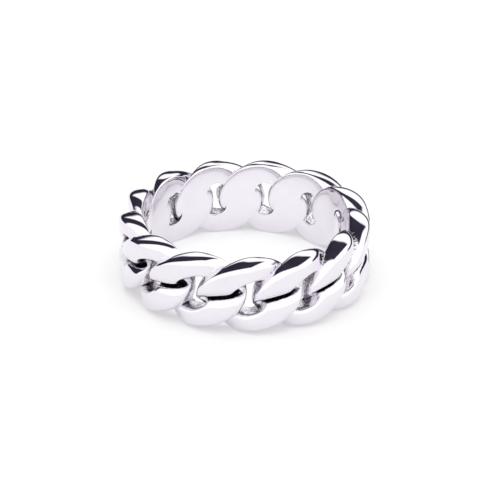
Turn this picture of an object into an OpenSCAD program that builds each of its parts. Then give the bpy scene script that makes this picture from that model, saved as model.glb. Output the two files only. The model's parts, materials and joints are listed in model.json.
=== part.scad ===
// Chain link ring: a closed band of curb links cast in one piece, with a plain round finger bore.
// Millimetres. The ring lies on its side: Z is the finger's axis and the band rests on Z = 0.

/* [Band] */
// Diameter of the finger bore
bore_d = 18.2; // [14:0.1:24]
// Width of the band along the finger
band_h = 6.8; // [5:0.1:10]
// Thickness of the band from the bore to the outside
band_t = 2.25; // [1.8:0.05:3.6]
// Number of links around the band
link_count = 13; // [10:1:18]
// Turn of the links around the band, from the front
first_link_deg = 2.8; // [0:0.1:36]

/* [Link] */
// Gap between the tips of every second link
tip_gap = 0.45; // [0.2:0.05:0.8]
// Strand width at the crests
strand_w = 1.85; // [1.2:0.05:2.4]
// Strand width at the tips
tip_w = 0.9; // [0.7:0.05:2]
// How much wider a tip is at the bore, and narrower at the outside
tip_taper = 0.5; // [0:0.05:0.6]
// Share by which a link's opening is drawn in halfway between crest and tip
opening_pinch = 0.55; // [0:0.01:0.6]
// How much more it is drawn in at the bore, and less at the outside
pinch_taper = 0.12; // [0:0.01:0.3]
// Strand thickness at the crests
strand_t = 2.8; // [1.6:0.05:3.6]
// Half of the strand thickness at the tips, on the outer side
tip_out = 0.7; // [0.5:0.05:1.6]
// Half of the strand thickness at the tips, on the bore's side
tip_in = 1.4; // [0.8:0.05:1.8]
// Depth of the strands below the middle of the band's thickness, at the crests
crest_depth = 0.6; // [0:0.05:1]
// Depth of the strands below the middle of the band's thickness, at the tips
tip_depth = 0.3; // [0:0.05:1]
// Twist of a link from its middle to its tip
tip_twist = 51; // [20:1:70]
// Lean of the crests along the band
crest_lean = 0.4; // [0:0.05:1]

/* [Rounding] */
// Squareness of a strand's rim on the side of the link's outline, where 2 is an ellipse
crest_power = 2.5; // [2:0.1:5]
// Squareness of a strand's rim on the side of the link's opening
opening_power = 5; // [2:0.1:6]
// Flatness of the outside of the band, where more is flatter
outside_power = 5; // [2:0.5:10]

/* [Part] */
// Sub-part to draw

/* [Hidden] */

bore_r = bore_d / 2;
half_t = band_t / 2;
mid_r = bore_r + half_t;
pitch_deg = 360 / link_count;
link_a = 2 * PI * mid_r / link_count - tip_gap / 2;
link_b = band_h / 2;

// Facets of one link, kept within one budget for the whole band
section_steps = 12;
loop_steps = 4 * floor(6250 / (4 * link_count * section_steps));
bore_past = 1;

silver = [0.86, 0.86, 0.88];

function sgn_pow(x, e) = sign(x) * pow(abs(x), e);

// The oval outline of a link
function outline(t) = [link_a * cos(t), link_b * sin(t)];

// Its opening, drawn in between crest and tip, most at the bore, where out is -1
function opening(t, out) =
    (1 - (opening_pinch - pinch_taper * out) * pow(sin(2 * t), 2))
    * [(link_a - tip_w + tip_taper * out) * cos(t), (link_b - strand_w) * sin(t)];

// One point of the link before its twist, as [along, across, out]
function flat_point(t, s) =
    let (rim_power = cos(s) > 0 ? crest_power : opening_power,
         share = (1 + sgn_pow(cos(s), 2 / rim_power)) / 2,
         out = sgn_pow(sin(s), 2 / rim_power),
         tip_half = out > 0 ? tip_out : tip_in,
         half_h = strand_t / 2 + (tip_half - strand_t / 2) * pow(cos(t), 2),
         p = outline(t) * share + opening(t, out) * (1 - share))
    [p[0], p[1], out * half_h];

// The flat link twisted about its long axis
function twisted(p) =
    let (f = -tip_twist * p[0] / link_a)
    [p[0], p[1] * cos(f) - p[2] * sin(f), p[1] * sin(f) + p[2] * cos(f)];

// The upper crests lean one way along the band and the lower ones the other
function leaning(p) = [p[0] + crest_lean * p[1] / link_b, p[1], p[2]];

// The outside is pressed flat, softly, to the band's outer radius
function pressed(x) = x <= 0 ? x : x / pow(1 + pow(x / half_t, outside_power), 1 / outside_power);

// Sunk towards the bore, by different depths at crest and tip
function sunk(p, t) = [p[0], p[1], p[2] - crest_depth - (tip_depth - crest_depth) * pow(cos(t), 2)];

// Wrapped around the finger's axis, the front of the ring at -Y
function wrapped(p) =
    let (r = mid_r + pressed(p[2]), a = p[0] / mid_r * 180 / PI)
    [r * sin(a), -r * cos(a), p[1] + link_b];

// One point of a link in its place at the front of the ring
function link_point(t, s) = wrapped(sunk(leaning(twisted(flat_point(t, s))), t));

link_points = [for (i = [0 : loop_steps - 1], k = [0 : section_steps - 1])
    link_point(360 * i / loop_steps, 360 * k / section_steps)];

function at(i, k) = (i % loop_steps) * section_steps + k % section_steps;

// Each four-sided patch is split along its shorter diagonal
link_faces = [for (i = [0 : loop_steps - 1], k = [0 : section_steps - 1])
    let (a = at(i, k), b = at(i, k + 1), c = at(i + 1, k + 1), d = at(i + 1, k),
         short_ac = norm(link_points[a] - link_points[c]) < norm(link_points[b] - link_points[d]))
    each short_ac ? [[a, b, c], [a, c, d]] : [[a, b, d], [b, c, d]]];

module link() polyhedron(points = link_points, faces = link_faces, convexity = 8);

module finger_bore()
    translate([0, 0, -bore_past])
        cylinder(r = bore_r, h = band_h + 2 * bore_past, $fn = 180);

module band()
    color(silver)
        difference() {
            union()
                for (j = [0 : link_count - 1])
                    rotate([0, 0, first_link_deg + j * pitch_deg])
                        link();
            finger_bore();
        }

band();
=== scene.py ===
import json
import math

import bpy
import numpy as np
from mathutils import Matrix, Vector


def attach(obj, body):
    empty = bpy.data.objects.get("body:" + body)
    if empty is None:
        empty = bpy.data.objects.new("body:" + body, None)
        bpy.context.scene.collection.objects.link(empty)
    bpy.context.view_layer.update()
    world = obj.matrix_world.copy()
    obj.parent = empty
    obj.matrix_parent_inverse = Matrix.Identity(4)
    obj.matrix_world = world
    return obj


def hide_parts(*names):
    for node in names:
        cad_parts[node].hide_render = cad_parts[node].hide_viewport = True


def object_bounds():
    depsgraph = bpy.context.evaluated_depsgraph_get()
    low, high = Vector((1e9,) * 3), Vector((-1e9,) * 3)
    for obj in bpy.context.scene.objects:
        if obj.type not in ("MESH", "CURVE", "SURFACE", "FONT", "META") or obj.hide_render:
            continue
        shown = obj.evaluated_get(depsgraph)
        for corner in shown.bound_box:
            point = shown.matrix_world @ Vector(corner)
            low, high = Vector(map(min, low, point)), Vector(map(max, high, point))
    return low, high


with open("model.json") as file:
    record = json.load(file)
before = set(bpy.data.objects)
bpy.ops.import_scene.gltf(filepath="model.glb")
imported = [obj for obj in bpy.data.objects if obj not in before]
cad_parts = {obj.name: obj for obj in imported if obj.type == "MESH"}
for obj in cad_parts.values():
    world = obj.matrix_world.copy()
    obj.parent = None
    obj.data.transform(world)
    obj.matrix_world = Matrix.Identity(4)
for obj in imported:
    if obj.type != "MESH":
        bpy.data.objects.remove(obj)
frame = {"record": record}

# Chain link ring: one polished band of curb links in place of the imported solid, in metres.
# The ring lies on its side: Z is the finger's axis, and the front of the ring is at -Y.
cad_lo, cad_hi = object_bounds()

# The band, from the frame: its bore, width and outside
MM = 0.001
BORE_R = frame["record"]["mounts"][0]["dims"]["r_mm"] * MM
BAND_H = cad_hi.z - cad_lo.z
BAND_T = 2.25 * MM
HALF_T = BAND_T / 2
MID_R = BORE_R + HALF_T

# The links, by the same formula as their solid
LINK_COUNT = 13
FIRST_LINK = math.radians(2.8)
PITCH = 2 * math.pi / LINK_COUNT
TIP_GAP = 0.45 * MM
STRAND_W = 1.85 * MM
TIP_W = 0.9 * MM
TIP_TAPER = 0.5 * MM
STRAND_T = 2.8 * MM
TIP_OUT = 0.7 * MM
TIP_IN = 1.4 * MM
OPENING_PINCH = 0.55
PINCH_TAPER = 0.12
CREST_DEPTH = 0.6 * MM
TIP_DEPTH = 0.3 * MM
TIP_TWIST = math.radians(51)
CREST_LEAN = 0.4 * MM
CREST_POWER = 2.5
OPENING_POWER = 5
OUTSIDE_POWER = 5
LINK_A = PITCH * MID_R - TIP_GAP / 2
LINK_B = BAND_H / 2

# How far the outside keeps within the solid's facets
OUTSIDE_TRIM = 0.013 * MM

# The links' pads in the bore: how crisply they are flattened, how far two of their corners stand
# proud of the other two, and the share of that step by which the middle of a pad lies back
PAD_POWER = 4
PAD_STEP = 0.06 * MM
PAD_MIDDLE = 0.5

# Mesh steps round a link and round its strand, first fine and then kept, and how strongly bends
# draw the kept ones in
LOOP_STEPS = 160
RAW_STEPS = 720
SECTION_STEPS = 52
BEND_SHARE = 0.8
CREASE_ANGLE = math.radians(32)

# The polished silver: smears that vary its tint and its polish, and the long waves of polishing
SILVER_TINTS = ((0.8, 0.77, 0.82, 1), (0.85, 0.82, 0.87, 1))
POLISH = (0.03, 0.08)
SMEAR_SCALE = 900
SMEAR_DETAIL = 3
WAVE_SCALE = 420
WAVE_DETAIL = 1
WAVE_STRENGTH = 0.5
WAVE_DEPTH = 0.03 * MM

# Its hollows, by how open a place is as a share within this reach. Each span runs from the share
# where they start to be dull, dark with painted shade or grainy to the share where they are fully so
HOLLOW_REACH = 1.2 * MM
HOLLOW_SAMPLES = 8
DULL_SHARE = (0.5, 0.25)
DULL_ROUGHNESS = 0.35
# Painted shade: a near-black colour laid into the deepest hollows, standing for the shade there
PAINTED_SHADE_SHARE = (0.42, 0.25)
PAINTED_SHADE = (0.03, 0.026, 0.04, 1)
GRAIN_SHARE = (0.85, 0.6)
GRAIN_SCALE = 3500
GRAIN_DETAIL = 2
GRAIN_DEPTH = 0.08 * MM

# The floor, with a little light of its own
FLOOR_SIZE = 4.0
FLOOR_TINTS = ((0.73, 0.73, 0.735, 1), (0.75, 0.75, 0.75, 1))
FLOOR_ROUGHNESS = 0.9
FLOOR_GLOW = 0.32
GLOW_TINT = (1, 1, 1, 1)
MOTTLE_SCALE = 60

# The studio that only the metal mirrors, as directions from the ring: a dark panel overhead,
# turned about the finger's axis, and a dark line low behind, all else white. Each edge runs from
# dark to white
DARK = (0.03, 0.026, 0.045, 1)
PAPER = (1.27, 1.27, 1.27, 1)
PANEL_TURN = math.radians(20)
PANEL_LEFT = (-0.95, -1.05)
PANEL_RIGHT = (0.25, 0.33)
PANEL_FRONT = (-0.05, -0.15)
PANEL_BACK = (0.6, 0.68)
LINE_TOP = (0.28, 0.42)
LINE_FRONT = (0.3, 0.1)

# The soft light that falls on everything, brightest overhead
SKY_TOP = 2.0
SKY_POWER = 2.0

# The camera, from the photograph: its angle above the floor, roll, distance, scale and the
# picture's point at the middle of the ring, then its sensor and its nearest and farthest sight
PHOTO_PX = 492
CAM_ELEVATION = math.radians(26.83)
CAM_ROLL = math.radians(1.08)
CAM_DISTANCE = 370 * MM
PX_PER_M = 11.22 / MM
CENTRE_PX = (244.75, 243.2)
SENSOR = 36
NEAREST = 0.01
FARTHEST = 10


def signed_power(x, e):
    """x to the power e, keeping its sign."""
    return np.sign(x) * np.abs(x) ** e


def pressed(depth, limit, power):
    """Depths pressed softly flat at this limit."""
    raised = np.maximum(depth, 0)
    return raised / (1 + (raised / limit) ** power) ** (1 / power)


def raw_link_points():
    """A link at the front of the ring, with far more points round its strand than it needs."""
    t = np.linspace(0, 2 * math.pi, LOOP_STEPS, endpoint=False)[:, None]
    s = np.linspace(0, 2 * math.pi, RAW_STEPS, endpoint=False)[None, :]
    power = np.where(np.cos(s) > 0, CREST_POWER, OPENING_POWER)
    across = signed_power(np.cos(s), 2 / power)
    out = signed_power(np.sin(s), 2 / power)
    # Each section spans from the oval outline to the opening, pinched more towards the bore
    pinch = 1 - (OPENING_PINCH - PINCH_TAPER * out) * np.sin(2 * t) ** 2
    share = (1 + across) / 2
    opening_a = LINK_A - TIP_W + TIP_TAPER * out
    x = np.cos(t) * (LINK_A * share + opening_a * pinch * (1 - share))
    y = np.sin(t) * (LINK_B * share + (LINK_B - STRAND_W) * pinch * (1 - share))
    tip_half = np.where(out > 0, TIP_OUT, TIP_IN)
    z = out * (STRAND_T / 2 + (tip_half - STRAND_T / 2) * np.cos(t) ** 2)
    # The pads in the bore stand a little proud at the two corners that pass over the next link
    pad_limit = HALF_T - PAD_STEP * np.maximum(0, PAD_MIDDLE - x * y / (LINK_A * LINK_B))
    # Twisted about its long axis, leaned, sunk, and pressed to the outside and to the bore
    f = -TIP_TWIST * x / LINK_A
    y, z = y * np.cos(f) - z * np.sin(f), y * np.sin(f) + z * np.cos(f)
    x = x + CREST_LEAN * y / LINK_B
    z = z - CREST_DEPTH - (TIP_DEPTH - CREST_DEPTH) * np.cos(t) ** 2
    outwards = pressed(z, HALF_T - OUTSIDE_TRIM, OUTSIDE_POWER)
    r = MID_R + outwards - pressed(-z, pad_limit, PAD_POWER)
    a = x / MID_R
    return np.stack([r * np.sin(a), -r * np.cos(a), y + LINK_B], -1)


def link_points():
    """The link's points, spaced round its strand so that tight bends get more of them."""
    raw = raw_link_points()
    closed = np.concatenate([raw, raw[:, :1]], 1)
    steps = np.diff(closed, axis=1)
    length = np.linalg.norm(steps, axis=2)
    ways = steps / length[..., None]
    bend = np.arccos(np.clip((ways * np.roll(ways, 1, axis=1)).sum(2), -1, 1))
    need = length / length.sum(1, keepdims=True) + BEND_SHARE * bend / (2 * math.pi)
    so_far = np.concatenate([np.zeros((LOOP_STEPS, 1)), np.cumsum(need, 1)], 1)
    points = np.empty((LOOP_STEPS, SECTION_STEPS, 3))
    for i in range(LOOP_STEPS):
        wanted = np.arange(SECTION_STEPS) / SECTION_STEPS * so_far[i, -1]
        for axis in range(3):
            points[i, :, axis] = np.interp(wanted, so_far[i], closed[i, :, axis])
    return points


def new_object(name, points, faces):
    """An object with this mesh, linked to the scene."""
    mesh = bpy.data.meshes.new(name)
    mesh.from_pydata(points, [], faces)
    made = bpy.data.objects.new(name, mesh)
    bpy.context.scene.collection.objects.link(made)
    return made


def link_object(number, points):
    """The link with this number, turned to its place around the finger's axis."""
    i, k = np.meshgrid(np.arange(LOOP_STEPS), np.arange(SECTION_STEPS), indexing="ij")
    i2, k2 = (i + 1) % LOOP_STEPS, (k + 1) % SECTION_STEPS
    corners = [(i, k), (i2, k), (i2, k2), (i, k2)]
    faces = np.stack([a * SECTION_STEPS + b for a, b in corners], -1).reshape(-1, 4)
    turn = np.array(Matrix.Rotation(FIRST_LINK + number * PITCH, 3, "Z"))
    return new_object(f"link_{number}", (points @ turn.T).tolist(), faces.tolist())


def join(target, tool):
    """Joins tool into target, as one solid, and takes the tool away."""
    change = target.modifiers.new("join", "BOOLEAN")
    change.operation = "UNION"
    change.solver = "MANIFOLD"
    change.object = tool
    depsgraph = bpy.context.evaluated_depsgraph_get()
    result = bpy.data.meshes.new_from_object(target.evaluated_get(depsgraph))
    target.modifiers.clear()
    old, target.data = target.data, result
    bpy.data.meshes.remove(old)
    bpy.data.objects.remove(tool)


def build_band():
    """All the links joined into one band."""
    points = link_points().reshape(-1, 3)
    band = link_object(0, points)
    for number in range(1, LINK_COUNT):
        join(band, link_object(number, points))
    band.name = band.data.name = "chain_band"
    band.data.shade_smooth()
    band.data.set_sharp_from_angle(angle=CREASE_ANGLE)
    return band


def node(tree, kind, links=(), **values):
    """A shader node with its settings, its input values and the sockets linked to it."""
    made = tree.nodes.new(kind)
    for key, value in values.items():
        if hasattr(made, key):
            setattr(made, key, value)
        else:
            made.inputs[key].default_value = value
    for socket, source in links:
        tree.links.new(source, made.inputs[socket])
    return made


def ramp(tree, source, span, to=(0, 1)):
    """The source mapped smoothly from a span of its values, which may run downwards."""
    made = node(tree, "ShaderNodeMapRange", [("Value", source)], interpolation_type="SMOOTHSTEP")
    made.inputs["From Min"].default_value = span[0]
    made.inputs["From Max"].default_value = span[1]
    made.inputs["To Min"].default_value = to[0]
    made.inputs["To Max"].default_value = to[1]
    return made.outputs["Result"]


def chosen(tree, rule, sources):
    """The largest or smallest of these sources."""
    result = sources[0]
    for source in sources[1:]:
        step = node(tree, "ShaderNodeMath", [(0, result), (1, source)], operation=rule)
        result = step.outputs["Value"]
    return result


def noise(tree, scale, detail=2):
    """The share of a fine noise that is fixed to the object."""
    place = node(tree, "ShaderNodeTexCoord").outputs["Object"]
    made = node(tree, "ShaderNodeTexNoise", [("Vector", place)], Scale=scale, Detail=detail)
    return made.outputs["Fac"]


def tinted(tree, share, colours):
    """A colour that runs between these two by the share."""
    made = node(tree, "ShaderNodeMix", [("Factor", share)], data_type="RGBA")
    made.inputs["A"].default_value, made.inputs["B"].default_value = colours
    return made.outputs["Result"]


def silver_colour(tree, smears, open_share):
    """Silver, darkened to near black in its deep hollows by painted shade."""
    # Painted shade: the deepest hollows run to a near-black colour
    painted_shade = ramp(tree, open_share, PAINTED_SHADE_SHARE)
    sources = [("Factor", painted_shade), ("A", tinted(tree, smears, SILVER_TINTS))]
    made = node(tree, "ShaderNodeMix", sources, data_type="RGBA")
    made.inputs["B"].default_value = PAINTED_SHADE
    return made.outputs["Result"]


def silver_roughness(tree, smears, open_share):
    """Bright where the polish reaches, and duller in the hollows."""
    polish = ramp(tree, smears, (0, 1), POLISH)
    dull = ramp(tree, open_share, DULL_SHARE, (0, DULL_ROUGHNESS))
    return node(tree, "ShaderNodeMath", [(0, polish), (1, dull)]).outputs["Value"]


def silver_relief(tree, open_share):
    """The long waves of polishing, and the grain of the casting in the hollows."""
    waves = [("Height", noise(tree, WAVE_SCALE, WAVE_DETAIL))]
    polished = node(tree, "ShaderNodeBump", waves, Strength=WAVE_STRENGTH, Distance=WAVE_DEPTH)
    sources = [(0, noise(tree, GRAIN_SCALE, GRAIN_DETAIL)), (1, ramp(tree, open_share, GRAIN_SHARE))]
    grain = node(tree, "ShaderNodeMath", sources, operation="MULTIPLY")
    both = [("Height", grain.outputs["Value"]), ("Normal", polished.outputs["Normal"])]
    return node(tree, "ShaderNodeBump", both, Distance=GRAIN_DEPTH).outputs["Normal"]


def silver_material():
    """Polished silver with duller, as-cast hollows, darkened there by painted shade."""
    made = bpy.data.materials.new("polished_silver")
    made.use_nodes = True
    tree = made.node_tree
    shader = tree.nodes["Principled BSDF"]
    shader.inputs["Metallic"].default_value = 1
    hollow = node(tree, "ShaderNodeAmbientOcclusion", samples=HOLLOW_SAMPLES, only_local=True,
                  Distance=HOLLOW_REACH)
    open_share = hollow.outputs["AO"]
    smears = noise(tree, SMEAR_SCALE, SMEAR_DETAIL)
    tree.links.new(silver_colour(tree, smears, open_share), shader.inputs["Base Color"])
    tree.links.new(silver_roughness(tree, smears, open_share), shader.inputs["Roughness"])
    tree.links.new(silver_relief(tree, open_share), shader.inputs["Normal"])
    return made


def floor_material():
    """Plain pale paper, barely mottled."""
    made = bpy.data.materials.new("pale_floor")
    made.use_nodes = True
    tree = made.node_tree
    shader = tree.nodes["Principled BSDF"]
    shader.inputs["Roughness"].default_value = FLOOR_ROUGHNESS
    shader.inputs["Emission Strength"].default_value = FLOOR_GLOW
    shader.inputs["Emission Color"].default_value = GLOW_TINT
    mottled = tinted(tree, noise(tree, MOTTLE_SCALE), FLOOR_TINTS)
    tree.links.new(mottled, shader.inputs["Base Color"])
    return made


def build_floor():
    """A wide floor under the ring."""
    half = FLOOR_SIZE / 2
    sides = [(-half, -half), (half, -half), (half, half), (-half, half)]
    floor = new_object("floor", [(x, y, cad_lo.z) for x, y in sides], [(0, 1, 2, 3)])
    floor.data.materials.append(floor_material())


def mirrored_light(tree, way):
    """White paper with the dark panel and the dark line, by the way that a mirrored ray goes."""
    turned = node(tree, "ShaderNodeVectorRotate", [("Vector", way)], rotation_type="Z_AXIS",
                  Angle=PANEL_TURN)
    split = node(tree, "ShaderNodeSeparateXYZ", [("Vector", turned.outputs["Vector"])])
    x, y = split.outputs["X"], split.outputs["Y"]
    panel_edges = [ramp(tree, x, PANEL_LEFT), ramp(tree, x, PANEL_RIGHT),
                   ramp(tree, y, PANEL_FRONT), ramp(tree, y, PANEL_BACK)]
    split = node(tree, "ShaderNodeSeparateXYZ", [("Vector", way)])
    line_edges = [ramp(tree, split.outputs["Z"], LINE_TOP), ramp(tree, split.outputs["Y"], LINE_FRONT)]
    off_both = [chosen(tree, "MAXIMUM", panel_edges), chosen(tree, "MAXIMUM", line_edges)]
    return tinted(tree, chosen(tree, "MINIMUM", off_both), (DARK, PAPER))


def soft_light(tree, way):
    """Soft light from above, strongest straight overhead."""
    height = node(tree, "ShaderNodeSeparateXYZ", [("Vector", way)]).outputs["Z"]
    for operation, value in (("MAXIMUM", 0), ("POWER", SKY_POWER), ("MULTIPLY", SKY_TOP)):
        step = node(tree, "ShaderNodeMath", [(0, height)], operation=operation)
        step.inputs[1].default_value = value
        height = step.outputs["Value"]
    return height


def build_studio():
    """Soft white light, and the dark shapes that only the metal mirrors."""
    world = bpy.data.worlds.new("studio")
    bpy.context.scene.world = world
    world.use_nodes = True
    tree = world.node_tree
    way = node(tree, "ShaderNodeTexCoord").outputs["Generated"]
    is_mirrored = node(tree, "ShaderNodeLightPath").outputs["Is Glossy Ray"]
    sources = [("Factor", is_mirrored), ("A", soft_light(tree, way)), ("B", mirrored_light(tree, way))]
    both = node(tree, "ShaderNodeMix", sources, data_type="RGBA")
    tree.links.new(both.outputs["Result"], tree.nodes["Background"].inputs["Color"])


def build_camera():
    """The camera at the photograph's angle, with its scale and framing."""
    camera = bpy.data.cameras.new("camera")
    holder = bpy.data.objects.new("camera", camera)
    bpy.context.scene.collection.objects.link(holder)
    bpy.context.scene.camera = holder
    back = Vector((0, -math.cos(CAM_ELEVATION), math.sin(CAM_ELEVATION)))
    holder.location = Vector((0, 0, cad_lo.z + BAND_H / 2)) + back * CAM_DISTANCE
    upright = (-back).to_track_quat("-Z", "Y").to_matrix()
    holder.rotation_euler = (upright @ Matrix.Rotation(CAM_ROLL, 3, "Z")).to_euler()
    camera.sensor_width = SENSOR
    camera.lens = PX_PER_M * CAM_DISTANCE / PHOTO_PX * SENSOR
    camera.shift_x = (PHOTO_PX / 2 - CENTRE_PX[0]) / PHOTO_PX
    camera.shift_y = (CENTRE_PX[1] - PHOTO_PX / 2) / PHOTO_PX
    camera.clip_start = NEAREST
    camera.clip_end = FARTHEST


band = build_band()
band.data.materials.clear()
band.data.materials.append(silver_material())
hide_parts("band")
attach(band, "root")

build_floor()
build_studio()
build_camera()
bpy.context.scene.view_settings.view_transform = "Standard"
